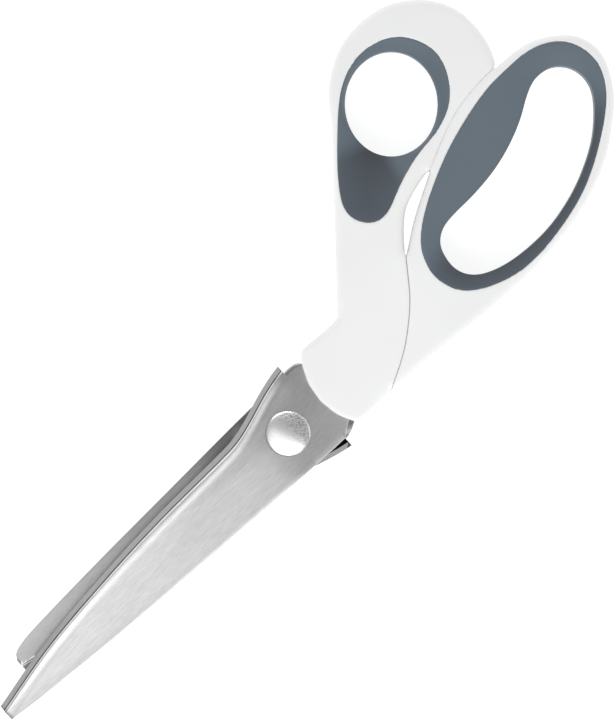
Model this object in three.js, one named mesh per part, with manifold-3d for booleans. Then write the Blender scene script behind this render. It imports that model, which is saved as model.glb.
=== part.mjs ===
// Pinking shears about 23 cm long: two stamped blades with toothed flanges, crossed on one
// pivot, each with a moulded handle on its tang and a soft grip around the handle's hole.
//
// The origin is on the pivot's axis, on the surface that the shears lie on. +X runs towards
// the handles, +Y towards the thumb handle and +Z up, out of the front of the shears.
// All sizes are in millimetres.

import * as THREE from 'three';
import { mergeVertices } from 'three/addons/utils/BufferGeometryUtils.js';
import Module from 'manifold-3d';

const wasm = await Module();
wasm.setup();

// ---- Driving dimensions ----

const bladeReach = 104.4; // pivot to the front blade's nose
const backNoseSetback = 11.1; // how much shorter the back blade is
const handleReach = 128.8; // pivot to the far end of the finger handle
const handleStart = 15; // where both handles leave the pivot area

const handleThickness = 12;
const handleEdgeRound = 1.6;
const partingGap = 0.6; // between the two handles where one lies over the other
const sideGap = 0.3; // between pieces that lie side by side or inside one another

const plateThickness = 2; // blade steel
const bladeStandoff = 4.5; // middle plane to a blade's outer face
const flangeLean = 2.4; // how far a flange leans out from the bend
const flangeWall = 2.6; // steel left behind the flange's outer face
const toothPitch = 5;
const toothDepth = 2.4;
const toothStart = 16; // radius where the teeth begin
const toothGap = 0.3; // between the two blades' teeth, along Z

const pivotGap = 1; // between the blades' inner faces at the pivot
const dishRadius = 8; // where the pressed dish around the pivot is at full depth
const dishRim = 15; // where the dish fades out

const shankDiameter = 6;
const bushingWall = 1;
const runningFit = 0.05; // clearance on each side of a turning fit
const headDiameter = 11.9;
const headHeight = 3;
const headRimHeight = 0.7;
const nutDiameter = 11.9;
const nutFloor = 0.9; // steel under the shank's end
const spannerHoleDiameter = 1.6;
const spannerHoleSpread = 7.6;
const centreWasherDiameter = 14;
const springWasherDiameter = 11;
const springWasherHeight = 0.6;
const springWasherThickness = 0.35;

const gripSkin = 1.3; // soft skin on the handle's faces
const gripLining = 1.3; // soft lining inside the hole
const tangHoleDiameter = 4.4;

const roundSegments = 48;
const middle = handleThickness / 2;
const tangFace = pivotGap / 2 + plateThickness; // middle plane to a tang's outer face
const boreDiameter = shankDiameter + 2 * bushingWall + 4 * runningFit;

// ---- Solids ----

function solidFrom(geometry) {
  const bare = geometry.clone();
  bare.deleteAttribute('normal');
  bare.deleteAttribute('uv');
  const merged = mergeVertices(bare);
  const triVerts = new Uint32Array(merged.index.array);
  const vertProperties = new Float32Array(merged.attributes.position.array);
  const solid = new wasm.Manifold(new wasm.Mesh({ numProp: 3, vertProperties, triVerts }));
  if (solid.volume() > 0) {
    return solid;
  }
  triVerts.reverse();
  return new wasm.Manifold(new wasm.Mesh({ numProp: 3, vertProperties, triVerts }));
}

function geometryFrom(solid) {
  const mesh = solid.getMesh();
  const geometry = new THREE.BufferGeometry();
  geometry.setAttribute('position', new THREE.BufferAttribute(mesh.vertProperties, 3));
  geometry.setIndex(new THREE.BufferAttribute(mesh.triVerts, 1));
  return geometry;
}

// A flat outline made into a slab from z = bottom to z = top, its edges rounded by round.
function slab(points, bottom, top, round = 0) {
  const geometry = new THREE.ExtrudeGeometry(new THREE.Shape(points), {
    depth: top - bottom - 2 * round,
    bevelEnabled: round > 0,
    bevelThickness: round,
    bevelSize: round,
    bevelOffset: -round,
    bevelSegments: 3,
  });
  geometry.translate(0, 0, bottom + round);
  return solidFrom(geometry);
}

function box(x0, x1, y0, y1, z0, z1) {
  const geometry = new THREE.BoxGeometry(x1 - x0, y1 - y0, z1 - z0);
  geometry.translate((x0 + x1) / 2, (y0 + y1) / 2, (z0 + z1) / 2);
  return solidFrom(geometry);
}

function cylinder(diameter, bottom, top, x = 0, y = 0, segments = roundSegments) {
  const geometry = new THREE.CylinderGeometry(diameter / 2, diameter / 2, top - bottom, segments);
  geometry.rotateX(Math.PI / 2);
  geometry.translate(x, y, (bottom + top) / 2);
  return solidFrom(geometry);
}

// A profile of [radius, height] points, turned about the pivot's axis.
function turned(profile, segments = roundSegments) {
  const points = profile.map(([radius, height]) => new THREE.Vector2(radius, height));
  const geometry = new THREE.LatheGeometry(points, segments);
  geometry.rotateX(Math.PI / 2);
  return solidFrom(geometry);
}

function ring(outer, inner, bottom, top) {
  return cylinder(outer, bottom, top).subtract(cylinder(inner, bottom - 1, top + 1));
}

// ---- Curves ----

const smoothStep = (value) => THREE.MathUtils.smoothstep(value, 0, 1);

// The height at x of a smooth curve through points that are listed from low x to high x.
function heightAt(points, x) {
  const last = points.length - 1;
  let i = 0;
  while (i < last - 1 && x > points[i + 1][0]) {
    i += 1;
  }
  const slope = (a, b) => (points[b][1] - points[a][1]) / (points[b][0] - points[a][0]);
  const width = points[i + 1][0] - points[i][0];
  const t = (x - points[i][0]) / width;
  const startSlope = i > 0 ? slope(i - 1, i + 1) : slope(0, 1);
  const endSlope = i + 2 <= last ? slope(i, i + 2) : slope(last - 1, last);
  return points[i][1] * (2 * t ** 3 - 3 * t ** 2 + 1)
    + width * startSlope * (t ** 3 - 2 * t ** 2 + t)
    + points[i + 1][1] * (3 * t ** 2 - 2 * t ** 3)
    + width * endSlope * (t ** 3 - t ** 2);
}

// An outline moved outwards by distance, along its own normals.
function grown(points, distance) {
  const side = THREE.ShapeUtils.isClockWise(points) ? -1 : 1;
  const count = points.length;
  return points.map((point, i) => {
    const before = points[(i + count - 1) % count];
    const after = points[(i + 1) % count];
    const along = new THREE.Vector2().subVectors(after, before).normalize();
    const outward = new THREE.Vector2(along.y * side, -along.x * side);
    return point.clone().addScaledVector(outward, distance);
  });
}

function openLoop(points) {
  const first = points[0];
  return points.filter((point, i) => i === 0 || point.distanceTo(points[i - 1]) > 0.3)
    .filter((point, i) => i === 0 || point.distanceTo(first) > 0.3);
}

const vectors = (pairs) => pairs.map(([x, y]) => new THREE.Vector2(x, y));

// ---- Blades ----

// Both blades are drawn as the front one, with the middle plane at z = 0. The back blade is
// then turned over about the X axis.

const drawnReach = 104.4; // the reach that the blade curves are drawn for

// Where the plate bends over into the flange.
const bendLine = [
  [-104.4, -2.7], [-84, 1.5], [-60, 4.2], [-39, 5.6], [-15.6, 6.2], [-10.8, 6.7], [-6.1, 7.9],
  [3.3, 10.9], [10.2, 12.3], [14.5, 12.3],
];
const flangeEnd = 10.1;
const frontSpine = [
  [-104.4, -4.9], [-84, -6.9], [-60, -8.5], [-28, -9.9], [10.2, -11.2], [11.7, -10], [14.5, -8.3],
];
const backSpine = [
  [-93.3, -5.3], [-92.3, -6.9], [-89.5, -7.9], [-84, -8.6], [-60, -9.8], [-39, -10.5],
  [-4, -11.6], [10.2, -11.6], [11.7, -10.4], [14.5, -8.3],
];
const plateEnd = 14.5;
const tangStart = 14;

// Blade curves are stretched in front of the pivot when the reach changes.
const bladeX = (x) => (x < 0 ? (x * bladeReach) / drawnReach : x);
const stretchedCurve = (points) => points.map(([x, y]) => [bladeX(x), y]);

// How far the plate is pressed down at (x, y): a round dish about the pivot that runs on
// into the tang, fading out before the bend.
function pressedDepth(x, y, bend) {
  const spread = Math.max(0, Math.abs(y) - 0.8 * Math.max(0, x));
  const distance = Math.hypot(Math.min(x, 0), spread);
  const dish = smoothStep((dishRim - distance) / (dishRim - dishRadius));
  const awayFromBend = smoothStep((bend - 1.2 - y) / 2);
  const pastFlange = smoothStep((x - flangeEnd) / (tangStart - flangeEnd));
  const guard = awayFromBend + (1 - awayFromBend) * pastFlange;
  return (bladeStandoff - tangFace) * dish * guard;
}

// A section drawn in (across, up) and carried along X, with place() giving each point's y and z.
// The steps are closest near the pivot, where the plate is pressed.
function swept(section, nose, end, steps, place) {
  const geometry = new THREE.ExtrudeGeometry(new THREE.Shape(section), {
    depth: 1,
    steps,
    bevelEnabled: false,
  });
  const position = geometry.attributes.position;
  for (let i = 0; i < position.count; i += 1) {
    const x = end + (nose - end) * position.getZ(i) ** 1.5;
    const [y, z] = place(x, position.getX(i), position.getY(i));
    position.setXYZ(i, x, y, z);
  }
  return solidFrom(geometry);
}

function platePart(nose, spine, bend) {
  const divisions = 12;
  const across = Array.from({ length: divisions + 1 }, (_, i) => i / divisions);
  const section = [
    ...across.map((share) => new THREE.Vector2(share, 0)),
    ...across.toReversed().map((share) => new THREE.Vector2(share, 1)),
  ];
  return swept(section, nose, plateEnd, 30, (x, share, up) => {
    const from = heightAt(spine, x);
    const y = from + (heightAt(bend, x) - 0.3 - from) * share;
    const top = bladeStandoff - pressedDepth(x, y, heightAt(bend, x));
    return [y, top - plateThickness * (1 - up)];
  });
}

function flangePart(nose, bend) {
  const foot = -toothDepth / 2 - 0.5;
  const inner = flangeLean - flangeWall;
  const crown = bladeStandoff + 0.08;
  const section = vectors([
    [-1.2, bladeStandoff - 0.3], [-0.9, crown], [0.1, crown], [0.7, crown - 0.4],
    [1.1, crown - 1], [flangeLean, crown - 2.8], [flangeLean, foot], [inner, foot],
    [inner, bladeStandoff - plateThickness - 0.5], [-0.8, bladeStandoff - plateThickness + 0.3],
  ].toReversed());
  return swept(section, nose, flangeEnd, 26, (x, across, up) => [heightAt(bend, x) + across, up]);
}

// What the grinding wheel takes away under the flange: flat near the pivot, and beyond
// toothStart a row of V-shaped rings about the pivot, so that the teeth mesh at any opening.
function toothCutter(side) {
  const below = -10;
  const count = Math.ceil((bladeReach - toothStart) / toothPitch) + 1;
  const surface = [[toothStart, toothGap / 2]];
  for (let i = 0; i < count; i += 1) {
    const radius = toothStart + i * toothPitch;
    surface.push([radius + toothPitch / 4, toothGap / 2 + (side * toothDepth) / 2]);
    surface.push([radius + (3 * toothPitch) / 4, toothGap / 2 - (side * toothDepth) / 2]);
  }
  const outer = toothStart + (count + 1) * toothPitch;
  surface.push([outer, toothGap / 2]);
  return turned([[0, below], [outer, below], ...surface.toReversed(), [0, toothGap / 2]], 120);
}

// The tang's plan from startX on, with its first corner at y = startLow. It stretches with
// the handle that holds it.
function tangOutline(startX, startLow) {
  const points = vectors([
    [22, -7.6], [30, -5], [37, -0.5], [43, 4], [43.6, 7], [42, 9], [30, 10], [20, 10.8],
    [15.4, 11.2],
  ]).map(handlePoint);
  return [...vectors([[startX, startLow]]), ...points, ...vectors([[startX, 12]])];
}

const tangHoles = vectors([[22, 2], [34, 5]]);

function blade(reach, spine, side) {
  const nose = -reach;
  const bend = stretchedCurve(bendLine);
  const tang = slab(tangOutline(tangStart, -8.6), pivotGap / 2, tangFace);
  let solid = platePart(nose, stretchedCurve(spine), bend).add(flangePart(nose, bend)).add(tang);
  solid = solid.subtract(toothCutter(side));
  solid = solid.subtract(cylinder(boreDiameter, -20, 20));
  for (const hole of tangHoles) {
    const { x, y } = handlePoint(hole);
    solid = solid.subtract(cylinder(tangHoleDiameter, -20, 20, x, y, 24));
  }
  return solid;
}

// ---- Handle outlines ----

// Handle outlines are drawn for drawnHandleReach and stretched along X from handleStart.
const drawnHandleReach = 128.8;

function handlePoint(point) {
  const stretch = (handleReach - handleStart) / (drawnHandleReach - handleStart);
  return new THREE.Vector2(handleStart + (point.x - handleStart) * stretch, point.y);
}

function handleOutline(start, draw, divisions = 2) {
  const path = new THREE.Path();
  path.moveTo(start[0], start[1]);
  draw(path);
  return openLoop(path.getPoints(divisions)).map(handlePoint);
}

const partingLine = 12.7; // y of the step where the lower handle body stops

// Where the thumb handle ends on top of the finger handle, from the parting line down to
// the lower edge.
const overlapCurve = [[51.3, 8.7], [46.7, 3], [40, -2.8], [35, -6.2], [28, -9.9]];

// The round front end that both handles share, on the metal beside the pivot.
function frontArc(path, clockwise) {
  const low = Math.PI * 1.182;
  const high = Math.PI * 0.816;
  path.absarc(31.3, 0.4, 19.3, clockwise ? low : high, clockwise ? high : low, clockwise);
}

function thumbOutline() {
  return handleOutline([54.3, 12.7], (path) => {
    path.splineThru(vectors(overlapCurve));
    path.splineThru(vectors([[25, -10.7], [17.5, -10.5]]));
    frontArc(path, true);
    path.lineTo(17.5, 13.7);
    path.lineTo(30, 13);
    path.lineTo(64, 51.2);
    path.splineThru(vectors([
      [69, 57.9], [75, 62.4], [81, 65], [88, 65.8], [95, 64.7], [101, 61.6], [106, 56.6],
      [109, 50.5], [109.5, 44], [108.3, 37.4], [106.2, 33],
    ]));
    path.splineThru(vectors([[100, 32.8], [90, 31.4], [80, 27.4], [75.2, 25.2]]));
    path.splineThru(vectors([[70, 24.3], [63.4, 22], [58.5, 17.8], [54.3, 12.7]]));
  });
}

// The finger handle's plan below the middle plane, where it reaches forward under the
// thumb handle.
function fingerOutline() {
  const step = partingLine - sideGap / 2;
  return handleOutline([54.7, step], (path) => {
    path.lineTo(17, step);
    frontArc(path, false);
    path.splineThru(vectors([
      [20, -10.7], [32, -11], [44, -11.7], [56, -12.6], [68, -13.1], [76, -13.2], [86, -12.3],
      [98, -10], [110, -5], [117, 0], [123.6, 6], [128.2, 14], [128.6, 20], [126.2, 25.3],
      [120, 30.1], [113.8, 32.1], [105, 32.5], [95, 32], [85, 29.3], [75, 24.8],
    ]));
    path.splineThru(vectors([[65, 19.5], [60, 16.3], [54.7, step]]));
  });
}

function thumbHole() {
  return handleOutline([0, 0], (path) => {
    path.curves.length = 0;
    path.absellipse(79.3, 44.5, 13.9, 12.3, 0, 2 * Math.PI, false, THREE.MathUtils.degToRad(46.7));
  }, 20);
}

function fingerHole() {
  return handleOutline([61.6, 3], (path) => {
    path.splineThru(vectors([
      [62.6, 7.8], [65.2, 10.6], [69.3, 12], [80, 12.3], [90, 13.9], [100, 17.6], [108, 22.4],
      [113, 23.5], [117.6, 22.2], [120.9, 17.6], [120.6, 11.5], [116.3, 5.8], [110, 0.5],
      [100, -4.5], [90, -7.2], [82, -7.8], [73, -7], [65.6, -4.3], [62.3, -0.6], [61.6, 3],
    ]));
  });
}

function thumbGripOutline() {
  return handleOutline([82.8, 59.9], (path) => {
    path.splineThru(vectors([
      [76.8, 58.7], [70, 54.8], [60, 44.9], [54.5, 38.5], [51, 32.6], [51.6, 27.8], [55, 24.4],
      [59.4, 24.4], [66, 27.3], [74.7, 29.9], [83.4, 31], [91, 34.4], [96, 41.2], [97.1, 47.8],
      [94.3, 54.4], [89.4, 58.4], [82.8, 59.9],
    ]));
  });
}

function fingerGripOutline() {
  return handleOutline([56, 4], (path) => {
    path.splineThru(vectors([
      [57.6, -2.2], [62, -6.7], [70, -10.1], [78.8, -11.2], [90, -9.7], [100, -7], [110, -1.9],
      [120, 5.3], [125, 11.6], [126.5, 18], [123.8, 25.3], [117, 29.6], [108, 30.5], [98, 29.9],
      [85, 26.6], [75, 22.6], [65, 17.2], [58.4, 11.2], [56, 4],
    ]));
  });
}

// ---- Handles and grips ----

// What a grip takes out of its handle: a pocket on each face and the lining of the hole.
function gripSpace(outer, hole) {
  const pocket = grown(outer, sideGap);
  const depth = gripSkin + sideGap;
  return slab(pocket, -1, depth)
    .add(slab(pocket, handleThickness - depth, handleThickness + 1))
    .add(slab(grown(hole, gripLining + sideGap), -1, handleThickness + 1));
}

function grip(outer, hole) {
  const web = slab(grown(outer, 2), gripSkin, handleThickness - gripSkin)
    .subtract(slab(grown(hole, gripLining), 0, handleThickness));
  return slab(outer, 0, handleThickness, 0.5)
    .subtract(slab(hole, -1, handleThickness + 1))
    .subtract(web);
}

// The channel that a tang lies in, drawn for the thumb handle with the middle plane at z = 0.
function tangChannel() {
  let channel = slab(grown(tangOutline(8, -10), sideGap), -1, tangFace + sideGap);
  for (const hole of tangHoles) {
    const { x, y } = handlePoint(hole);
    channel = channel.subtract(cylinder(tangHoleDiameter - 2 * sideGap, -2, 20, x, y, 24));
  }
  return channel;
}

const turnedOver = (solid) => solid.rotate([180, 0, 0]);
const raised = (solid, z) => solid.translate([0, 0, z]);

function thumbHandle() {
  const far = 2 * handleReach;
  const lowerLevel = box(-far, far, -far, partingLine + sideGap / 2, -1, middle + partingGap / 2);
  return slab(thumbOutline(), 0, handleThickness, handleEdgeRound)
    .subtract(gripSpace(thumbGripOutline(), thumbHole()))
    .subtract(lowerLevel)
    .subtract(raised(tangChannel(), middle));
}

function fingerHandle() {
  const clear = sideGap + 0.1;
  const edge = vectors([[54.3, 12.7], ...overlapCurve]).map(handlePoint);
  const curve = new THREE.SplineCurve(edge).getPoints(16);
  const upperLevel = slab([
    ...curve.map((point) => new THREE.Vector2(point.x + clear, point.y)),
    ...vectors([[curve.at(-1).x + clear, -40], [-10, -40], [-10, 40], [curve[0].x + clear, 40]]),
  ], middle - partingGap / 2, handleThickness + 1);
  return slab(fingerOutline(), 0, handleThickness, handleEdgeRound)
    .subtract(gripSpace(fingerGripOutline(), fingerHole()))
    .subtract(upperLevel)
    .subtract(raised(turnedOver(tangChannel()), middle));
}

// ---- Pivot ----

const frontFace = middle + tangFace; // outer face of the front blade at the pivot
const backFace = middle - tangFace;
const shankEnd = nutFloor + sideGap;

function pivotScrew() {
  const radius = headDiameter / 2;
  const underHead = frontFace + runningFit;
  const domeHeight = headHeight - headRimHeight;
  const domeRadius = (radius ** 2 + domeHeight ** 2) / (2 * domeHeight);
  const halfAngle = Math.asin(radius / domeRadius);
  const steps = 8;
  const dome = Array.from({ length: steps + 1 }, (_, i) => {
    const angle = halfAngle * (1 - i / steps);
    const height = underHead + headHeight - domeRadius * (1 - Math.cos(angle));
    return [domeRadius * Math.sin(angle), height];
  });
  return turned([
    [0, shankEnd], [shankDiameter / 2, shankEnd], [shankDiameter / 2, underHead],
    [radius, underHead], ...dome,
  ]);
}

function pivotNut() {
  const top = backFace - runningFit - springWasherHeight;
  const edge = 0.5;
  const radius = nutDiameter / 2;
  let nut = turned([[0, 0], [radius - edge, 0], [radius, edge], [radius, top], [0, top]]);
  nut = nut.subtract(cylinder(shankDiameter + 2 * runningFit, nutFloor, top + 1));
  for (const y of [-spannerHoleSpread / 2, spannerHoleSpread / 2]) {
    nut = nut.subtract(cylinder(spannerHoleDiameter, -1, nutFloor, 0, y, 16));
  }
  return nut;
}

function springWasher() {
  const low = backFace - runningFit - springWasherHeight;
  const high = low + springWasherHeight;
  const outer = springWasherDiameter / 2;
  const inner = shankDiameter / 2 + 2 * runningFit;
  return turned([
    [inner, low], [outer, high - springWasherThickness], [outer, high],
    [inner, low + springWasherThickness], [inner, low],
  ]);
}

function pivotBushing() {
  const outer = shankDiameter + 2 * bushingWall + 2 * runningFit;
  return ring(outer, shankDiameter + 2 * runningFit, backFace, frontFace);
}

function centreWasher() {
  const half = pivotGap / 2 - runningFit;
  return ring(centreWasherDiameter, boreDiameter, middle - half, middle + half);
}

// ---- Assembly ----

const steel = { color: 0xc9cdd0, roughness: 0.34, metalness: 1 };
const pivotSteel = { color: 0xb4b6b8, roughness: 0.42, metalness: 1 };
const whitePlastic = { color: 0xe9eaec, roughness: 0.38, metalness: 0 };
const softGrey = { color: 0x5f6d78, roughness: 0.72, metalness: 0 };

const shears = new THREE.Group();

function addPiece(name, solid, look, group = shears) {
  const mesh = new THREE.Mesh(geometryFrom(solid), new THREE.MeshStandardMaterial(look));
  mesh.name = name;
  group.add(mesh);
  return mesh;
}

const frontBlade = addPiece('front_blade', blade(bladeReach, frontSpine, 1), steel);
frontBlade.position.z = middle;

const backReach = bladeReach - backNoseSetback;
const backBlade = addPiece('back_blade', blade(backReach, backSpine, -1), steel);
backBlade.rotation.x = Math.PI;
backBlade.position.z = middle;

addPiece('thumb_handle', thumbHandle(), whitePlastic);
addPiece('finger_handle', fingerHandle(), whitePlastic);
addPiece('thumb_grip', grip(thumbGripOutline(), thumbHole()), softGrey);
addPiece('finger_grip', grip(fingerGripOutline(), fingerHole()), softGrey);

addPiece('pivot_screw', pivotScrew(), pivotSteel);
addPiece('pivot_bushing', pivotBushing(), pivotSteel);
addPiece('centre_washer', centreWasher(), pivotSteel);
addPiece('spring_washer', springWasher(), pivotSteel);
addPiece('pivot_nut', pivotNut(), pivotSteel);

export default shears;
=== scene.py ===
import math

import bmesh
import bpy
from mathutils import Matrix, Vector
from mathutils.kdtree import KDTree


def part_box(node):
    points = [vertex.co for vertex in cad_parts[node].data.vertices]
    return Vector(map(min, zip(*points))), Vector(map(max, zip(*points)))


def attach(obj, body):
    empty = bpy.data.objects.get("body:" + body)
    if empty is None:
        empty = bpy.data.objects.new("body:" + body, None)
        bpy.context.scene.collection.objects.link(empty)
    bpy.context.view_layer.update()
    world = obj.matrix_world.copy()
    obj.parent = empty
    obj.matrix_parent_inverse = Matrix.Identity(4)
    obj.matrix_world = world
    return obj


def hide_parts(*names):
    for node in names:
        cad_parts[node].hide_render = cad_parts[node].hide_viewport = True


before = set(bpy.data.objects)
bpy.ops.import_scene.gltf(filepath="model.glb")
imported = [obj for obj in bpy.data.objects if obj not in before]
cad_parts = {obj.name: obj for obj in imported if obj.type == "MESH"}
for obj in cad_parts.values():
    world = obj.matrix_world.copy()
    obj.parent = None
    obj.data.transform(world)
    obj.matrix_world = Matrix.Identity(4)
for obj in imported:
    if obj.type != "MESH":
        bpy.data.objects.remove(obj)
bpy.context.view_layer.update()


# ---- Stage ----
# The shears lie on a white table and are seen from straight above, tips towards the lower
# left. Large soft lamps stand around them, the strongest one over the tips.

mm = 0.001
view_turn = math.radians(-43.31)
view_height = 1.588
view_centre = (17.0 * mm, 10.6 * mm)
long_lens = 300.0

camera_data = bpy.data.cameras.new("camera")
camera_data.lens = long_lens
camera_data.sensor_width = 36.0
camera_data.clip_end = 10.0
camera = bpy.data.objects.new("camera", camera_data)
camera.location = (*view_centre, view_height)
camera.rotation_euler = (0.0, 0.0, view_turn)
bpy.context.collection.objects.link(camera)
bpy.context.scene.camera = camera
bpy.context.scene.view_settings.view_transform = "Standard"


def finished_object(name, bm, material=None, smooth=True):
    mesh = bpy.data.meshes.new(name)
    for face in bm.faces:
        face.smooth = smooth
    bm.to_mesh(mesh)
    bm.free()
    piece = bpy.data.objects.new(name, mesh)
    bpy.context.collection.objects.link(piece)
    if material:
        mesh.materials.append(material)
    return piece


table_material = bpy.data.materials.new("white_table")
table_material.use_nodes = True
table_shader = table_material.node_tree.nodes["Principled BSDF"]
table_shader.inputs["Base Color"].default_value = (0.5, 0.5, 0.5, 1.0)
table_shader.inputs["Roughness"].default_value = 0.9
table_shader.inputs["Specular IOR Level"].default_value = 0.1
table_shader.inputs["Emission Color"].default_value = (1.0, 1.0, 1.0, 1.0)
table_shader.inputs["Emission Strength"].default_value = 0.8
table_mesh = bmesh.new()
bmesh.ops.create_grid(table_mesh, x_segments=1, y_segments=1, size=4.0)
bmesh.ops.translate(table_mesh, vec=(0.0, 0.0, -0.0002), verts=table_mesh.verts)
table = finished_object("table", table_mesh, table_material)

world = bpy.data.worlds.new("studio")
world.use_nodes = True
world.node_tree.nodes["Background"].inputs["Color"].default_value = (1.0, 1.0, 1.0, 1.0)
world.node_tree.nodes["Background"].inputs["Strength"].default_value = 0.52
bpy.context.scene.world = world


def soft_lamp(name, place, target, width, height, radiance):
    data = bpy.data.lights.new(name, "AREA")
    data.shape = "RECTANGLE"
    data.size = width
    data.size_y = height
    data.energy = radiance * math.pi * width * height
    lamp = bpy.data.objects.new(name, data)
    lamp.location = place
    aim = Vector(target) - Vector(place)
    lamp.rotation_euler = aim.to_track_quat("-Z", "Y").to_euler()
    lamp.visible_camera = False
    bpy.context.collection.objects.link(lamp)
    return lamp


soft_lamp("lamp_over_tips", (-0.215, -0.03, 0.25), (-0.185, -0.02, 0.0), 0.36, 0.36, 0.75)
soft_lamp("key_lamp", (-0.86, -0.94, 1.05), (0.0, 0.0, 0.0), 2.1, 1.3, 2.05)
soft_lamp("low_lamp_right", (0.62, -0.25, 0.16), (0.05, 0.0, 0.0), 0.9, 0.25, 1.2)
soft_lamp("low_lamp_above", (0.35, 0.65, 0.26), (0.09, 0.03, 0.0), 0.9, 0.34, 2.3)


# ---- Blades ----
# Two stamped stainless blades, about 2 mm thick, ground and brushed along their length. The
# cutting side of each is bent over into a flange, and V-shaped teeth are ground into the
# flange's edge in rings about the pivot, so that both rows mesh at any opening.

handle_low, handle_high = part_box("thumb_handle")
middle = (handle_low.z + handle_high.z) / 2
outer_level = 4.5 * mm
tang_level = 2.5 * mm
flange_end = 10.1 * mm
tang_start = 14.0 * mm
tooth_pitch = 5.0 * mm
tooth_depth = 2.4 * mm
tooth_start = 16.0 * mm
tooth_gap = 0.3 * mm

front_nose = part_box("front_blade")[0].x
back_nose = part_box("back_blade")[0].x

bend_line = [
    (-104.4, -2.7), (-84, 1.5), (-60, 4.2), (-39, 5.6), (-15.6, 6.2), (-10.8, 6.7),
    (-6.1, 7.9), (3.3, 10.9), (10.2, 12.35), (13.2, 12.3), (14.6, 11.7), (15.6, 10.6), (18, 10.2),
]
back_bend = bend_line[:6] + [(-6.1, 7.2), (3.3, 9.9), (10.2, 11.4), (12, 11.1), (15, 9.7), (18, 7.8)]
front_spine = [
    (-104.4, -4.9), (-84, -6.9), (-60, -8.5), (-28, -9.9), (10.2, -11.2), (11.7, -10.0),
    (14.5, -8.3), (18, -7.5),
]
back_spine = [
    (-93.3, -5.3), (-92.3, -6.9), (-89.5, -7.9), (-84, -8.6), (-60, -9.8), (-39, -10.5),
    (-4, -11.6), (10.2, -11.6), (11.7, -10.4), (14.5, -8.3), (18, -7.5),
]


def smooth_step(value):
    value = min(1.0, max(0.0, value))
    return value * value * (3.0 - 2.0 * value)


def height_at(points, x):
    """The height at x of a smooth curve through points in millimetres, in metres."""
    x = x / mm
    last = len(points) - 1
    i = 0
    while i < last - 1 and x > points[i + 1][0]:
        i += 1

    def slope(a, b):
        return (points[b][1] - points[a][1]) / (points[b][0] - points[a][0])

    width = points[i + 1][0] - points[i][0]
    t = (x - points[i][0]) / width
    start = slope(i - 1, i + 1) if i > 0 else slope(0, 1)
    end = slope(i, i + 2) if i + 2 <= last else slope(last - 1, last)
    height = points[i][1] * (2 * t**3 - 3 * t**2 + 1)
    height += width * start * (t**3 - 2 * t**2 + t)
    height += points[i + 1][1] * (3 * t**2 - 2 * t**3)
    height += width * end * (t**3 - t**2)
    return height * mm


def pressed_in(x, y, bend):
    """How far the inner face is pressed in: a round dish that runs on into the tang."""
    spread = max(0.0, abs(y) - 0.8 * max(0.0, x))
    distance = math.hypot(min(x, 0.0), spread)
    dish = smooth_step((15 * mm - distance) / (7 * mm))
    from_bend = smooth_step((bend - 1.2 * mm - y) / (2.2 * mm))
    past_flange = smooth_step((x - flange_end) / (tang_start - flange_end))
    guard = from_bend + (1.0 - from_bend) * past_flange
    return (outer_level - tang_level) * dish * guard


def eased_in(x, y, bend):
    """How far the outer face sinks from the pivot to the tang, in one long slow slope."""
    along = smooth_step((x + 9 * mm) / (25 * mm))
    from_bend = smooth_step((bend - 1.4 * mm - y) / (5 * mm))
    past_flange = smooth_step((x - 7 * mm) / (9 * mm))
    return 1.1 * mm * along * (from_bend + (1.0 - from_bend) * past_flange)


# Each point of a blade's section: share of the way from the spine to the edge zone, distance
# from the bend in mm, and level in mm from the middle plane. The edge zone is 4.5 mm wide.
edge_zone = 4.5 * mm
plate_shares = [0.1 * step for step in range(1, 10)]
top_points = [(0.0, 0.0, 3.95), (0.0, 0.1, 4.15), (0.0, 0.3, 4.25)]
top_points += [(share, 0.0, 4.25) for share in plate_shares]
top_points += [(1.0, -4.5, 4.25), (1.0, -3.7, 4.25), (1.0, -3.0, 4.25), (1.0, -2.4, 4.25)]
bend_points = [
    (1.0, -2.0, 4.25), (1.0, -1.6, 4.27), (1.0, -1.2, 4.34), (1.0, -0.8, 4.45),
    (1.0, -0.4, 4.54), (1.0, -0.05, 4.57), (1.0, 0.25, 4.52), (1.0, 0.5, 4.38),
    (1.0, 0.7, 4.1), (1.0, 0.8, 3.75), (1.0, 0.9, 3.45), (1.0, 1.0, 3.38), (1.0, 1.1, 3.44),
]
flange_points = [
    (1.0, 2.3, 1.75), (1.0, 2.4, 1.5), (1.0, 2.4, -1.75), (1.0, 1.15, -1.75), (1.0, 1.1, 1.3),
    (1.0, 0.6, 1.95), (1.0, -0.2, 2.35), (1.0, -1.2, 2.5), (1.0, -4.5, 2.5),
]
inner_points = [(share, 0.0, 2.5) for share in reversed(plate_shares)]
inner_points += [(0.0, 0.3, 2.5), (0.0, 0.1, 2.55), (0.0, 0.0, 2.7)]
blade_section = top_points + bend_points + flange_points + inner_points
tang_edge = [
    (1.0, -2.0, 4.25), (1.0, -1.2, 4.25), (1.0, -0.6, 4.15), (1.0, -0.2, 3.9), (1.0, 0.0, 3.4),
    (1.0, 0.0, 2.9), (1.0, -0.2, 2.5), (1.0, -4.5, 2.5),
]
plate_section = top_points + tang_edge + inner_points


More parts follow.
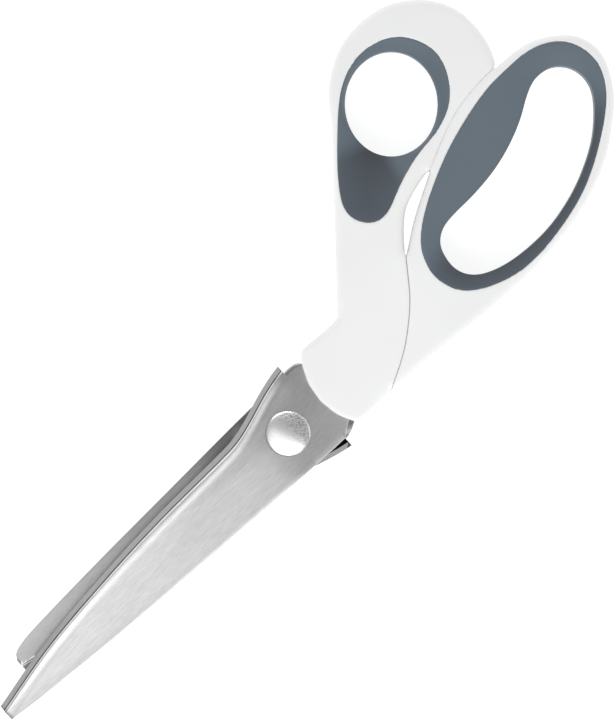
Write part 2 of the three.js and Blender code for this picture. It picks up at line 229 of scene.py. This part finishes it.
def swept_blade(section, spine, bend_edge, first, last, rings):
    """A closed section carried along the blade from x = first to x = last."""
    bm = bmesh.new()
    count = len(section)
    bmesh.ops.create_grid(bm, x_segments=count, y_segments=rings, size=1.0)
    for vert in bm.verts:
        place = round((vert.co.x + 1.0) / 2.0 * count) % count
        along = (vert.co.y + 1.0) / 2.0
        x = last + (first - last) * along**1.25
        share, offset, level = section[place]
        if level > 4.25:
            level = 4.25 + (level - 4.25) * smooth_step((flange_end - x) / (9 * mm))
        low = height_at(spine, x)
        bend = height_at(bend_edge, x)
        if share == 1.0:
            narrow = min(1.0, (bend - low) / (2 * edge_zone))
            y = bend + offset * mm * (narrow if offset < 0.0 else 1.0)
        else:
            inner_edge = max((bend + low) / 2, bend - edge_zone)
            y = low + (inner_edge - low) * share + offset * min(mm, (inner_edge - low) / 4)
        inner = pressed_in(x, y, bend)
        outer = eased_in(x, y, bend)
        vert.co = (x, y, level * mm - inner - (outer - inner) * smooth_step(level / 0.9 - 2.9))
    bmesh.ops.remove_doubles(bm, verts=bm.verts, dist=1e-7)
    bmesh.ops.holes_fill(bm, edges=[edge for edge in bm.edges if edge.is_boundary])
    bmesh.ops.recalc_face_normals(bm, faces=bm.faces)
    return bm


def extruded_outline(points, low, high):
    bm = bmesh.new()
    face = bm.faces.new([bm.verts.new((x * mm, y * mm, low)) for x, y in points])
    grown = bmesh.ops.extrude_face_region(bm, geom=[face])["geom"]
    risen = [item for item in grown if isinstance(item, bmesh.types.BMVert)]
    bmesh.ops.translate(bm, vec=(0.0, 0.0, high - low), verts=risen)
    bmesh.ops.recalc_face_normals(bm, faces=bm.faces)
    return bm


def tooth_cutter(side, nose):
    """What the wheel grinds away: flat near the pivot, then V-shaped rings about it."""
    inner = 9 * mm
    deep = -6 * mm
    depth = tooth_depth / 2
    profile = [(inner, deep), (-nose + 3 * tooth_pitch, deep)]
    count = math.ceil((-nose - tooth_start) / tooth_pitch) + 1
    teeth = []
    for tooth in range(count):
        radius = tooth_start + tooth * tooth_pitch
        teeth.append((radius + tooth_pitch / 4, tooth_gap / 2 + side * depth))
        teeth.append((radius + tooth_pitch * 3 / 4, tooth_gap / 2 - side * depth))
    profile.append((-nose + 3 * tooth_pitch, tooth_gap / 2))
    profile += reversed(teeth)
    profile += [(tooth_start, tooth_gap / 2), (inner, tooth_gap / 2)]
    bm = bmesh.new()
    face = bm.faces.new([bm.verts.new((-radius, 0.0, z)) for radius, z in profile])
    half_turn = math.radians(130)
    bmesh.ops.rotate(bm, matrix=Matrix.Rotation(-half_turn, 3, "Z"), verts=bm.verts)
    start = bm.verts[:] + bm.edges[:] + [face]
    bmesh.ops.spin(bm, geom=start, axis=(0, 0, 1), angle=2 * half_turn, steps=173)
    bmesh.ops.recalc_face_normals(bm, faces=bm.faces)
    return bm


def combined(name, bm, other, operation):
    """Joins or cuts one solid by another and gives the result as a new bmesh."""
    base = finished_object(name, bm)
    tool = finished_object(name + "_tool", other)
    boolean = base.modifiers.new("boolean", "BOOLEAN")
    boolean.object = tool
    boolean.operation = operation
    boolean.solver = "EXACT"
    ready = base.evaluated_get(bpy.context.evaluated_depsgraph_get())
    result = bmesh.new()
    result.from_mesh(ready.to_mesh())
    for used in (base, tool):
        bpy.data.objects.remove(used)
    return result


def smooth_by_angle(piece, degrees):
    """Smooth faces with a crisp line wherever the surface turns by more than the angle."""
    bm = bmesh.new()
    bm.from_mesh(piece.data)
    for edge in bm.edges:
        edge.smooth = edge.calc_face_angle(3.14) < math.radians(degrees)
    bm.to_mesh(piece.data)
    bm.free()


tang_plan = [
    (13.5, -7.6), (22, -7.0), (30, -5), (37, -0.5), (43, 4), (43.6, 7), (42, 9), (30, 9),
    (20, 9), (15.4, 8.5), (13.5, 8.5),
]


# Levels of painted shade in the steel's colour: the groove, the flange, its lower edge, the end past the
# flange, and the nose.
groove_shade = 0.12
flange_shade = 0.17
flange_edge_shade = 0.34
flange_end_shade = 0.12
nose_shade = 0.1


def paint_blade_light_and_shade(bm, bend_edge, plate_painted_light, spine, nose):
    """Paints light and shade into the steel's colour: painted shade on the flange, a painted highlight
    along the bend, and a plate lighter away from the pivot.
    """
    layer = bm.verts.layers.float.new("painted_light_and_shade")
    by_pivot, by_middle, by_nose, turn = plate_painted_light
    for vert in bm.verts:
        x, y, z = vert.co
        from_bend = y - height_at(bend_edge, x)
        from_spine = y - height_at(spine, x)
        # A painted light gradient along the plate, from by_pivot by the pivot through by_middle to
        # by_nose.
        tone = by_pivot + (by_middle - by_pivot) * smooth_step((turn * mm - x) / (20 * mm))
        tone += (by_nose - by_middle) * smooth_step((-x - 34 * mm) / (50 * mm))
        # Painted shade on the top face along the spine, and a touch of painted light on the inner face
        # there.
        tone += (-0.07 if z > 3.9 * mm else 0.03) * smooth_step(1.0 - from_spine / (3 * mm))
        # Along the bend on the top face: a painted highlight on the ridge, with a faint line of painted
        # shade just inside it.
        if z > 3.9 * mm:
            fading = 1.2 * smooth_step(abs(x + 34 * mm) / ((58 if x < -34 * mm else 34) * mm)) - 0.2
            fading *= smooth_step((9 * mm - x) / (6 * mm))
            width = 0.35 + 0.6 * smooth_step((x - nose) / (30 * mm))
            width += 0.2 * smooth_step(x / (20 * mm) + 1.0)
            ridge_highlight = smooth_step(1.0 - abs(from_bend + 0.2 * mm) / (width * mm))
            tone -= 0.07 * fading * smooth_step(1.0 - abs(from_bend + 1.8 * mm) / (0.7 * mm))
            tone += (1.0 - tone) * ridge_highlight * fading
        # Painted shade in the groove and on the flange, lighter on the flange's lower edge, and painted
        # shade past the flange's end and at the nose.
        if from_bend > 0.72 * mm and z < 4.15 * mm:
            in_groove = from_bend < 1.05 * mm or x > flange_end - 0.35 * mm
            tone = groove_shade if in_groove else flange_shade
        if from_bend > 0.9 * mm and z < 1.46 * mm:
            tone = flange_edge_shade
        if x > flange_end and from_bend > -1.1 * mm:
            tone = flange_end_shade
        if x < nose + 0.3 * mm:
            tone = nose_shade
        vert[layer] = tone


def drill(radius, low, high):
    bm = bmesh.new()
    bmesh.ops.create_cone(
        bm, cap_ends=True, segments=96, radius1=radius, radius2=radius, depth=high - low
    )
    bmesh.ops.translate(bm, vec=(0.0, 0.0, (low + high) / 2), verts=bm.verts)
    return bm


ground_start = Vector((-93.2 * mm, -3.75 * mm, 0.0))
ground_end = Vector((-89.1 * mm, -3.05 * mm, 0.0))
ground_slope = 0.3 * mm
ground_depth = 0.4 * mm


def grind_nose(solid):
    """Grinds the inner face down beyond a line across the nose: a slope with a painted highlight, then a
    face with painted shade.
    """
    along = (ground_end - ground_start).normalized()
    across = Vector((-along.y, along.x, 0.0))
    for offset in (0.0, ground_slope, 1.7 * ground_slope):
        near = [face for face in solid.faces if face.calc_center_median().x < ground_end.x + 1 * mm]
        edges = {edge for face in near for edge in face.edges}
        verts = {vert for face in near for vert in face.verts}
        bmesh.ops.bisect_plane(
            solid, geom=near + list(edges) + list(verts), dist=1e-7,
            plane_co=ground_start + across * offset, plane_no=across,
        )
    painted_light_and_shade = solid.verts.layers.float["painted_light_and_shade"]
    for vert in solid.verts:
        beyond = (vert.co - ground_start).dot(across)
        inner = 2.3 * mm < vert.co.z < 2.75 * mm
        if not inner or beyond < -0.01 * mm or beyond > 3 * mm or vert.co.x > ground_end.x:
            continue
        fading = smooth_step((ground_end.x - vert.co.x) / (1.5 * mm))
        vert.co.z += ground_depth * fading * min(1.0, beyond / ground_slope)
        # Painted highlight on the ground slope, painted shade on the face beyond it.
        vert[painted_light_and_shade] = 1.0 if beyond < 1.1 * ground_slope else 0.12


# The tail is drawn in by this much, so that it doesn't share a plane with the plate it joins.
tail_inset = 0.015 * mm


def blade(name, spine, bend_edge, nose, side, pocket, plate_painted_light):
    plate = swept_blade(blade_section, spine, bend_edge, nose, flange_end, 130)
    tail = swept_blade(plate_section, spine, bend_edge, flange_end - 0.3 * mm, 17.5 * mm, 24)
    tail.normal_update()
    for vert in tail.verts:
        vert.co.z += tail_inset if vert.normal.z < 0.0 else -tail_inset
        vert.co.y += tail_inset if vert.normal.y < 0.0 else -tail_inset
    solid = combined(name, plate, tail, "UNION")
    tang = extruded_outline(tang_plan, 0.52 * mm, 2.24 * mm)
    solid = combined(name, solid, tang, "UNION")
    solid = combined(name, solid, tooth_cutter(side, nose), "DIFFERENCE")
    solid = combined(name, solid, drill(4.1 * mm, -2 * mm, 6 * mm), "DIFFERENCE")
    solid = combined(name, solid, drill(pocket, tang_level, 6 * mm), "DIFFERENCE")
    paint_blade_light_and_shade(solid, bend_edge, plate_painted_light, spine, nose)
    if side < 0:
        grind_nose(solid)
        bmesh.ops.rotate(solid, matrix=Matrix.Rotation(math.pi, 3, "X"), verts=solid.verts)
    bmesh.ops.translate(solid, vec=(0.0, 0.0, middle), verts=solid.verts)
    piece = finished_object(name, solid)
    smooth_by_angle(piece, 28)
    return piece


def node(tree, kind, place, **values):
    made = tree.nodes.new(kind)
    made.location = place
    for key, value in values.items():
        setattr(made, key, value)
    return made


def linked(tree, source, target):
    tree.links.new(source, target)


surface_grain = bpy.data.node_groups.new("surface_grain", "ShaderNodeTree")
for socket_name, socket_kind in (
    ("Stretch", "NodeSocketVector"), ("Detail", "NodeSocketFloat"), ("Harshness", "NodeSocketFloat"),
    ("Low", "NodeSocketFloat"), ("High", "NodeSocketFloat"), ("Dark", "NodeSocketFloat"),
    ("Light", "NodeSocketFloat"), ("Smoothest", "NodeSocketFloat"), ("Roughest", "NodeSocketFloat"),
):
    surface_grain.interface.new_socket(socket_name, in_out="INPUT", socket_type=socket_kind)
for socket_name in ("Tone", "Roughness", "Height"):
    surface_grain.interface.new_socket(socket_name, in_out="OUTPUT", socket_type="NodeSocketFloat")
grain_in = node(surface_grain, "NodeGroupInput", (-900, 0))
grain_out = node(surface_grain, "NodeGroupOutput", (300, 0))
grain_place = node(surface_grain, "ShaderNodeTexCoord", (-900, 250))
grain_stretch = node(surface_grain, "ShaderNodeVectorMath", (-650, 150), operation="MULTIPLY")
grain_noise = node(surface_grain, "ShaderNodeTexNoise", (-400, 100))
grain_noise.inputs["Scale"].default_value = 1.0
grain_tone = node(surface_grain, "ShaderNodeMapRange", (-100, 150))
grain_rough = node(surface_grain, "ShaderNodeMapRange", (-100, -150))
linked(surface_grain, grain_place.outputs["Object"], grain_stretch.inputs[0])
linked(surface_grain, grain_in.outputs["Stretch"], grain_stretch.inputs[1])
linked(surface_grain, grain_stretch.outputs["Vector"], grain_noise.inputs["Vector"])
linked(surface_grain, grain_in.outputs["Detail"], grain_noise.inputs["Detail"])
linked(surface_grain, grain_in.outputs["Harshness"], grain_noise.inputs["Roughness"])
linked(surface_grain, grain_noise.outputs["Fac"], grain_tone.inputs["Value"])
linked(surface_grain, grain_in.outputs["Low"], grain_tone.inputs["From Min"])
linked(surface_grain, grain_in.outputs["High"], grain_tone.inputs["From Max"])
linked(surface_grain, grain_in.outputs["Dark"], grain_tone.inputs["To Min"])
linked(surface_grain, grain_in.outputs["Light"], grain_tone.inputs["To Max"])
linked(surface_grain, grain_noise.outputs["Fac"], grain_rough.inputs["Value"])
linked(surface_grain, grain_in.outputs["Smoothest"], grain_rough.inputs["To Min"])
linked(surface_grain, grain_in.outputs["Roughest"], grain_rough.inputs["To Max"])
linked(surface_grain, grain_tone.outputs["Result"], grain_out.inputs["Tone"])
linked(surface_grain, grain_rough.outputs["Result"], grain_out.inputs["Roughness"])
linked(surface_grain, grain_noise.outputs["Fac"], grain_out.inputs["Height"])


def grained(tree, place, stretch, detail, harshness, levels, tones, roughness):
    """The shared grain, placed in one material with its own values."""
    grain = node(tree, "ShaderNodeGroup", place, node_tree=surface_grain)
    grain.inputs["Stretch"].default_value = stretch
    grain.inputs["Detail"].default_value = detail
    grain.inputs["Harshness"].default_value = harshness
    grain.inputs["Low"].default_value, grain.inputs["High"].default_value = levels
    grain.inputs["Dark"].default_value, grain.inputs["Light"].default_value = tones
    grain.inputs["Smoothest"].default_value, grain.inputs["Roughest"].default_value = roughness
    return grain


def new_material(name, metallic):
    material = bpy.data.materials.new(name)
    material.use_nodes = True
    shader = material.node_tree.nodes["Principled BSDF"]
    shader.inputs["Metallic"].default_value = metallic
    return material, material.node_tree, shader


def toned(tree, place, colour, grain):
    """A colour darkened and lightened by the grain's tone."""
    mixed = node(tree, "ShaderNodeMix", place, data_type="RGBA", blend_type="MULTIPLY")
    mixed.inputs[0].default_value = 1.0
    if isinstance(colour, bpy.types.NodeSocket):
        linked(tree, colour, mixed.inputs[6])
    else:
        mixed.inputs[6].default_value = (*colour, 1.0)
    linked(tree, grain.outputs["Tone"], mixed.inputs[7])
    return mixed.outputs[2]


def bumped(tree, shader, height, strength, depth):
    bump = node(tree, "ShaderNodeBump", (-300, -350))
    bump.inputs["Strength"].default_value = strength
    bump.inputs["Distance"].default_value = depth
    linked(tree, height, bump.inputs["Height"])
    linked(tree, bump.outputs["Normal"], shader.inputs["Normal"])


def brushed_steel(name, painted_light_colours, roughness, stretch, depth):
    """Steel brushed along X: long fine scratches over a colour picked from a ramp by each vertex's
    painted light and shade.
    """
    material, tree, shader = new_material(name, 1.0)
    shader.inputs["Anisotropic"].default_value = 0.35
    scratches = grained(
        tree, (-900, 0), stretch, 5.0, 0.75, (0.3, 0.7), (0.82, 1.17), (roughness, roughness)
    )
    clouds = grained(
        tree, (-900, -400), (90.0, 90.0, 90.0), 3.0, 0.5, (0.3, 0.7), (1.0, 1.0),
        (roughness - 0.08, roughness + 0.08),
    )
    # Each vertex's painted light and shade picks the steel's colour from the ramp.
    painted_light_and_shade = node(tree, "ShaderNodeAttribute", (-900, 300))
    painted_light_and_shade.attribute_name = "painted_light_and_shade"
    tone = node(tree, "ShaderNodeValToRGB", (-600, 300))
    tone.color_ramp.elements[0].color = (*painted_light_colours[0], 1.0)
    tone.color_ramp.elements[1].color = (*painted_light_colours[2], 1.0)
    middle_tone = tone.color_ramp.elements.new(0.5)
    middle_tone.color = (*painted_light_colours[1], 1.0)
    linked(tree, painted_light_and_shade.outputs["Fac"], tone.inputs["Fac"])
    linked(tree, toned(tree, (-300, 250), tone.outputs["Color"], scratches), shader.inputs["Base Color"])
    linked(tree, clouds.outputs["Roughness"], shader.inputs["Roughness"])
    bumped(tree, shader, scratches.outputs["Height"], 0.6, depth)
    return material


# Colours of the painted light: painted shade, plain steel and painted highlight.
steel_shade_to_highlight = ((0.1, 0.1, 0.103), (0.62, 0.62, 0.625), (0.95, 0.95, 0.95))
blade_steel = brushed_steel("blade_steel", steel_shade_to_highlight, 0.32, (280.0, 5600.0, 5600.0), 0.00002)

# The front plate's painted light: darker by the pivot, lighter along the blade.
front_blade = blade(
    "front_blade_steel", front_spine, bend_line, front_nose, 1,
    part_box("pivot_screw")[1].x + 0.03 * mm, (0.385, 0.55, 0.5, 3),
)
front_blade.data.materials.append(blade_steel)
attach(front_blade, "thumb_side")
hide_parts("front_blade")

# The back plate is painted far darker: painted shadow of the front blade over it, lightening towards the
# nose.
back_blade = blade(
    "back_blade_steel", back_spine, back_bend, back_nose, -1,
    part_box("spring_washer")[1].x + 0.3 * mm, (0.05, 0.2, 0.3, -10),
)
back_blade.data.materials.append(blade_steel)
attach(back_blade, "finger_side")
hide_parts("back_blade")


# ---- Pivot ----
# A domed screw holds the blades together. Its head is turned, then tumbled, so it is satin
# with a fine hammered grain. A round blind nut, a spring washer, a bushing and a washer
# between the blades are hidden behind and inside.


def turned_piece(name, profile, steps, material):
    """A profile of (radius, height) points turned about the pivot's axis."""
    bm = bmesh.new()
    verts = [bm.verts.new((radius, 0.0, z)) for radius, z in profile]
    edges = [bm.edges.new(pair) for pair in zip(verts, verts[1:])]
    bmesh.ops.spin(
        bm, geom=verts + edges, axis=(0, 0, 1), angle=math.tau, steps=steps, use_merge=True
    )
    bmesh.ops.remove_doubles(bm, verts=bm.verts, dist=1e-7)
    bmesh.ops.recalc_face_normals(bm, faces=bm.faces)
    piece = finished_object(name, bm, material)
    smooth_by_angle(piece, 30)
    return piece


def tumbled_steel(name, colour, roughness, size, depth):
    """Turned and tumbled steel; towards +x its pits bump the surface and also darken the colour, a
    painted shade on that side.
    """
    material, tree, shader = new_material(name, 1.0)
    pits = grained(
        tree, (-900, 0), (1.0 / size, 1.0 / size, 1.0 / size), 2.0, 0.5, (0.36, 0.6), (0.52, 1.0),
        (roughness + 0.1, roughness - 0.1),
    )
    place = node(tree, "ShaderNodeTexCoord", (-1100, 400))
    sides = node(tree, "ShaderNodeSeparateXYZ", (-900, 400))
    linked(tree, place.outputs["Object"], sides.inputs["Vector"])
    # Towards +x the pits darken the colour: painted shade on that side of the head, along with the real
    # pits' bump.
    pits_and_side_shade = node(tree, "ShaderNodeMapRange", (-650, 400), interpolation_type="SMOOTHSTEP")
    pits_and_side_shade.inputs["From Min"].default_value = -0.8 * mm
    pits_and_side_shade.inputs["From Max"].default_value = 3.2 * mm
    linked(tree, sides.outputs["X"], pits_and_side_shade.inputs["Value"])
    side_shade_mix = node(tree, "ShaderNodeMix", (-200, 300), data_type="RGBA")
    side_shade_mix.inputs[6].default_value = (*colour, 1.0)
    linked(tree, pits_and_side_shade.outputs["Result"], side_shade_mix.inputs[0])
    linked(tree, toned(tree, (-450, 200), colour, pits), side_shade_mix.inputs[7])
    linked(tree, side_shade_mix.outputs[2], shader.inputs["Base Color"])
    linked(tree, pits.outputs["Roughness"], shader.inputs["Roughness"])
    depths = node(tree, "ShaderNodeMath", (-500, -350), operation="MULTIPLY")
    linked(tree, pits.outputs["Height"], depths.inputs[0])
    linked(tree, pits_and_side_shade.outputs["Result"], depths.inputs[1])
    bumped(tree, shader, depths.outputs["Value"], 0.8, depth)
    return material


pivot_steel = tumbled_steel("pivot_steel", (0.78, 0.78, 0.78), 0.3, 0.4 * mm, 0.00014)
screw_low, screw_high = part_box("pivot_screw")
head_radius = screw_high.x
head_under = middle + tang_level + 0.05 * mm
shank_radius = 3.0 * mm
rim_top = head_under + 1.6 * mm
dome_height = screw_high.z - rim_top
dome_radius = (head_radius**2 + dome_height**2) / (2 * dome_height)
head_profile = [
    (0.0, screw_low.z),
    (shank_radius, screw_low.z),
    (shank_radius, head_under),
    (head_radius - 0.35 * mm, head_under),
    (head_radius - 0.1 * mm, head_under + 0.2 * mm),
    (head_radius, head_under + 0.45 * mm),
    (head_radius, rim_top - 0.15 * mm),
]
dome_steps = 18
for step in range(1, dome_steps + 1):
    angle = math.asin(head_radius / dome_radius) * (1.0 - step / dome_steps)
    lift = dome_radius * (1.0 - math.cos(angle))
    head_profile.append((dome_radius * math.sin(angle), screw_high.z - lift))
screw = turned_piece("pivot_screw_domed", head_profile, 96, pivot_steel)
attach(screw, "finger_side")
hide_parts("pivot_screw")

for hidden in ("pivot_nut", "pivot_bushing", "centre_washer", "spring_washer"):
    for material_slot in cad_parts[hidden].material_slots:
        material_slot.material = pivot_steel


# ---- Handles ----
# Two hard white mouldings over the tangs. Where they cross, each is half as thick and one
# slides over the other; the loops lie side by side at full thickness. Their outer edges are
# rolled over, and the faces stay nearly flat.

half_thickness = (handle_high.z - handle_low.z) / 2


def dense_points(loop, gap=0.15 * mm):
    points = []
    for start, end in zip(loop, loop[1:] + loop[:1]):
        count = max(1, math.ceil((end - start).length / gap))
        points += [start.lerp(end, i / count) for i in range(count)]
    return points


def even_loop(loop, rounds):
    """The same outline with evenly spaced points and its facets eased."""
    points = dense_points(loop, 0.5 * mm)
    for _ in range(rounds):
        points = [
            point * 0.5 + (before + after) * 0.25
            for before, point, after in zip(points[-1:] + points, points, points[1:] + points[:1])
        ]
    return points


def cad_loops(name, z, easing=7):
    """The closed outlines of a CAD node at height z, the longest first."""
    bm = bmesh.new()
    bm.from_mesh(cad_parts[name].data)
    bmesh.ops.remove_doubles(bm, verts=bm.verts, dist=1e-6)
    bmesh.ops.bisect_plane(
        bm, geom=bm.verts[:] + bm.edges[:] + bm.faces[:], plane_co=(0, 0, z),
        plane_no=(0, 0, 1), clear_inner=True, clear_outer=True,
    )
    bmesh.ops.remove_doubles(bm, verts=bm.verts, dist=2e-5)
    loops = []
    left = set(bm.verts)
    while left:
        vert = left.pop()
        loop = [vert]
        while True:
            steps = [edge.other_vert(vert) for edge in vert.link_edges]
            steps = [other for other in steps if other in left]
            if not steps:
                break
            vert = steps[0]
            left.discard(vert)
            loop.append(vert)
        loops.append([Vector((v.co.x, v.co.y)) for v in loop])
    bm.free()

    def span(loop):
        return max(p.x for p in loop) - min(p.x for p in loop)

    loops = [even_loop(loop, easing) for loop in loops if span(loop) > 5 * mm]
    return sorted(loops, key=span, reverse=True)


def scaled_loop(loop, share):
    centre = sum(loop, Vector((0.0, 0.0))) / len(loop)
    return [centre + (point - centre) * share for point in loop]


def point_tree(points):
    tree = KDTree(len(points))
    for i, point in enumerate(points):
        tree.insert((point.x, point.y, 0.0), i)
    tree.balance()
    return tree


def nearest_in(points):
    """A function that gives the distance from (x, y) to the nearest of the points."""
    tree = point_tree(points)
    return lambda x, y: tree.find((x, y, 0.0))[2]


def slab(bm, loops, low, high):
    """A flat solid between outlines, the first outside and the others as holes."""
    edges = []
    for loop in loops:
        verts = [bm.verts.new((point.x, point.y, low)) for point in loop]
        edges += [bm.edges.new(pair) for pair in zip(verts, verts[1:] + verts[:1])]
    filled = bmesh.ops.triangle_fill(bm, use_beauty=True, edges=edges)["geom"]
    faces = [item for item in filled if isinstance(item, bmesh.types.BMFace)]
    grown = bmesh.ops.extrude_face_region(bm, geom=faces)["geom"]
    risen = [item for item in grown if isinstance(item, bmesh.types.BMVert)]
    bmesh.ops.translate(bm, vec=(0.0, 0.0, high - low), verts=risen)


def remeshed(name, bm, size):
    """One even skin over all the solids in bm."""
    bmesh.ops.recalc_face_normals(bm, faces=bm.faces)
    rough = finished_object(name, bm)
    remesh = rough.modifiers.new("remesh", "REMESH")
    remesh.mode = "VOXEL"
    remesh.voxel_size = size
    ready = rough.evaluated_get(bpy.context.evaluated_depsgraph_get())
    result = bmesh.new()
    result.from_mesh(ready.to_mesh())
    bpy.data.objects.remove(rough)
    return result


def rolled_edge(distance, radius, drop):
    """How far the face falls at a distance from an outer edge rounded over a radius."""
    if distance >= radius:
        return 0.0
    across = 1.0 - distance / radius
    return drop * (1.0 - math.sqrt(max(0.0, 1.0 - across * across)))


def relaxed(bm, rounds):
    for _ in range(rounds):
        bmesh.ops.smooth_vert(
            bm, verts=bm.verts, factor=0.5, use_axis_x=True, use_axis_y=True, use_axis_z=True
        )


upper_cut = middle + 3 * mm
lower_cut = middle - 3 * mm
grip_cut = handle_high.z - 0.8 * mm
thumb_grip_loops = cad_loops("thumb_grip", grip_cut, 20)
finger_grip_loops = cad_loops("finger_grip", grip_cut, 20)
outlines = {
    "thumb": (cad_loops("thumb_handle", upper_cut)[0], cad_loops("thumb_handle", lower_cut)[0]),
    "finger": (cad_loops("finger_handle", upper_cut)[0], cad_loops("finger_handle", lower_cut)[0]),
}


def open_edge(own, other):
    """The stretch of an outline that is clear of the other handle."""
    beside = nearest_in(dense_points(other))
    kept = [point for point in dense_points(own) if beside(point.x, point.y) > 0.9 * mm]
    return nearest_in(kept)


edge_distance = {
    side: [open_edge(outlines[side][level], outlines[other][level]) for level in (0, 1)]
    for side, other in (("thumb", "finger"), ("finger", "thumb"))
}


other_distance = [nearest_in(dense_points(outlines["finger"][level])) for level in (0, 1)]


def handle_height(side, x, y, z):
    """The height that a face point keeps once the outer edges are rolled over."""
    distance = edge_distance[side][0 if z > middle else 1](x, y)
    grown_in = smooth_step((x - 15 * mm) / (10 * mm))
    drop = rolled_edge(distance, (0.4 + 2.0 * grown_in) * mm, (0.3 + 1.4 * grown_in) * mm)
    if side == "thumb":
        outer_band = smooth_step((y - 36 * mm) / (12 * mm))
        drop += 0.35 * mm * outer_band * smooth_step(1.0 - distance / (11 * mm))
        beside = other_distance[0 if z > middle else 1](x, y)
        valley = smooth_step((x - 62 * mm) / (12 * mm))
        drop += 0.3 * mm * valley * smooth_step(1.0 - beside / (5.5 * mm))
    return middle + (z - middle) * (1.0 - drop / half_thickness)


contact = {
    side: [dense_points(outlines[other][level]) for level in (0, 1)]
    for side, other in (("thumb", "finger"), ("finger", "thumb"))
}


def closed_up(solid, side):
    """Brings the two loops together where they lie against each other."""
    for level in (0, 1):
        tree = point_tree(contact[side][level])
        for vert in solid.verts:
            if (vert.co.z > middle) != (level == 0):
                continue
            place, _, distance = tree.find((vert.co.x, vert.co.y, 0.0))
            if distance < 0.55 * mm:
                share = 0.42 + 0.4 * smooth_step((vert.co.x - 62 * mm) / (8 * mm))
                vert.co.x += (place.x - vert.co.x) * share
                vert.co.y += (place.y - vert.co.y) * share


def handle(name, side, parting, hole, material):
    hole = scaled_loop(hole, 0.985)
    upper, lower = outlines[side]
    bm = bmesh.new()
    slab(bm, [upper, hole], parting[0], handle_high.z)
    slab(bm, [lower, hole], handle_low.z, parting[1])
    solid = remeshed(name, bm, 0.42 * mm)
    closed_up(solid, side)
    for vert in solid.verts:
        x, y, z = vert.co
        vert.co.z = handle_height(side, x, y, z)
    relaxed(solid, 4)
    return finished_object(name, solid, material)


def moulded(name, colour, roughness, size, depth):
    """Moulded plastic with a fine even grain and a slight, slow change of tone."""
    material, tree, shader = new_material(name, 0.0)
    fine = grained(
        tree, (-900, -200), (1.0 / size, 1.0 / size, 1.0 / size), 2.0, 0.5, (0.3, 0.7), (1.0, 1.0),
        (roughness - 0.04, roughness + 0.04),
    )
    slow = grained(
        tree, (-900, 300), (35.0, 35.0, 35.0), 2.0, 0.5, (0.35, 0.65), (0.97, 1.0),
        (roughness, roughness),
    )
    linked(tree, toned(tree, (-450, 300), colour, slow), shader.inputs["Base Color"])
    linked(tree, fine.outputs["Roughness"], shader.inputs["Roughness"])
    bumped(tree, shader, fine.outputs["Height"], 0.4, depth)
    return material


white_plastic = moulded("white_plastic", (0.815, 0.817, 0.82), 0.38, 0.25 * mm, 0.000006)

thumb_handle = handle(
    "thumb_handle_white", "thumb", (middle + 0.3 * mm, middle + 0.4 * mm), thumb_grip_loops[0],
    white_plastic,
)
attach(thumb_handle, "thumb_side")
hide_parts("thumb_handle")

finger_handle = handle(
    "finger_handle_white", "finger", (middle - 0.4 * mm, middle - 0.3 * mm),
    finger_grip_loops[0], white_plastic,
)
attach(finger_handle, "finger_side")
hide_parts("finger_handle")


# ---- Grips ----
# Soft grey rubber moulded into each handle's loop. It lines the hole and covers both faces
# around it, dished down towards the hole so that it doesn't press on the hand.

soft_grey = moulded("soft_grip", (0.103, 0.134, 0.163), 0.62, 0.18 * mm, 0.00001)
soft_tree = soft_grey.node_tree
soft_shader = soft_tree.nodes["Principled BSDF"]
soft_shader.inputs["Sheen Weight"].default_value = 0.15
# The grip's painted shade: its attribute mixes the colour towards near black.
grip_shade_attribute = node(soft_tree, "ShaderNodeAttribute", (-450, 550))
grip_shade_attribute.attribute_name = "painted_light_and_shade"
darkened = node(soft_tree, "ShaderNodeMix", (-200, 400), data_type="RGBA")
darkened.inputs[6].default_value = (0.03, 0.035, 0.045, 1.0)
linked(soft_tree, grip_shade_attribute.outputs["Fac"], darkened.inputs[0])
linked(soft_tree, soft_shader.inputs["Base Color"].links[0].from_socket, darkened.inputs[7])
linked(soft_tree, darkened.outputs[2], soft_shader.inputs["Base Color"])


def grip(name, side, loops, depth, power, shaded, material):
    outer, hole = loops[0], loops[-1]
    bm = bmesh.new()
    slab(bm, [outer, hole], handle_low.z, handle_high.z)
    solid = remeshed(name, bm, 0.36 * mm)
    to_hole = nearest_in(dense_points(hole))
    to_outer = nearest_in(dense_points(outer))
    layer = solid.verts.layers.float.new("painted_light_and_shade")
    for vert in solid.verts:
        x, y, z = vert.co
        inward, outward = to_hole(x, y), to_outer(x, y)
        share = inward / max(1e-6, inward + outward)
        dish = 1.012 - depth * (1.0 - share) ** power
        broad = smooth_step((inward + outward - 4 * mm) / (5 * mm))
        low_side = smooth_step((11 * mm - y) / (9 * mm)) * (1.0 - 0.4 * share)
        # Painted shade: darker over the thumb grip's broad dished face and along the low side of each
        # grip.
        vert[layer] = 1.0 - shaded * broad * (1.0 - 0.4 * share) - 0.76 * low_side
        height = handle_height(side, x, y, z)
        vert.co.z = middle + (height - middle) * dish
    relaxed(solid, 3)
    return finished_object(name, solid, material)


thumb_grip = grip("thumb_grip_soft", "thumb", thumb_grip_loops, 0.52, 1.3, 0.93, soft_grey)
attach(thumb_grip, "thumb_side")
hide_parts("thumb_grip")

finger_grip = grip("finger_grip_soft", "finger", finger_grip_loops, 0.3, 1.6, 0.0, soft_grey)
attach(finger_grip, "finger_side")
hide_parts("finger_grip")
